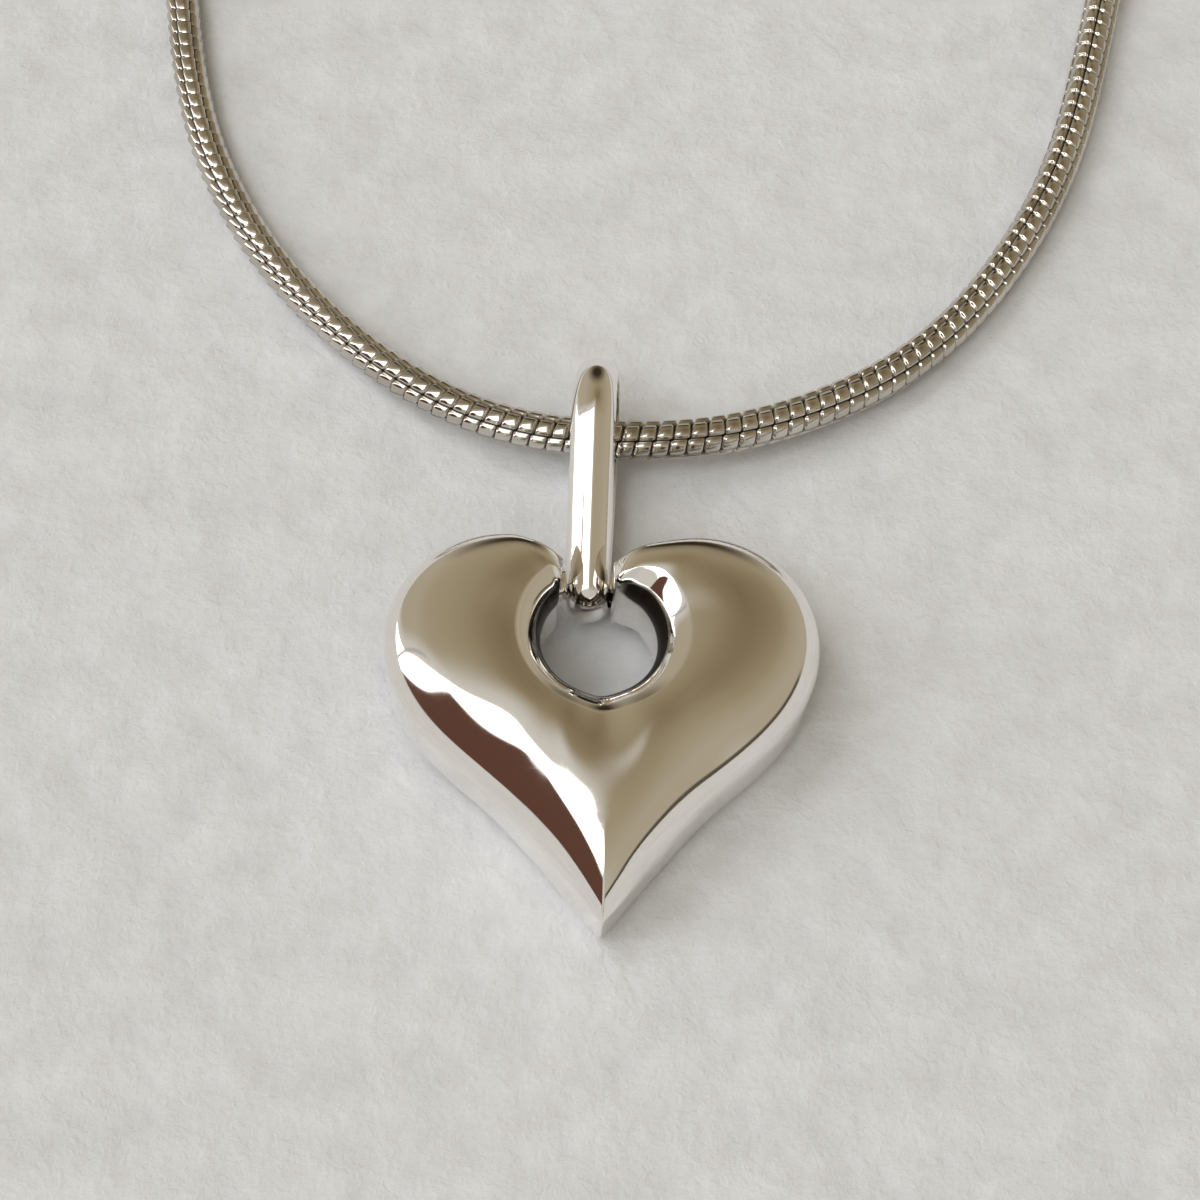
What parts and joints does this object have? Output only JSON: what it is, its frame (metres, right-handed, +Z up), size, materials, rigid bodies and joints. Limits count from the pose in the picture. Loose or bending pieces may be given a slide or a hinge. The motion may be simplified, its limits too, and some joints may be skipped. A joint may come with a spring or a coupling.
{
  "type": "heart pendant necklace",
  "caption": "Puffed polished heart pendant with a round hole, on a tapered loop bail and a round snake chain with a barrel clasp, laid flat as a closed loop.",
  "frame": {"origin": "middle of the whole loop's bounding box, on the surface that it lies on", "axes": "+Z up from the surface, +Y from the heart's tip along the loop to the clasp, +X to the right as the heart's front is seen"},
  "size_m": [0.066, 0.2072, 0.0057],
  "materials": {
    "heart": "polished silver",
    "bail": "polished silver",
    "chain_left": "polished silver links, darkened between them",
    "chain_right": "polished silver links, darkened between them",
    "clasp": "polished silver"
  },
  "bodies": {
    "root": {"heart": "heart", "bail": "bail", "chain_left": "chain_left", "chain_right": "chain_right", "clasp": "clasp"}
  },
  "joints": []
}
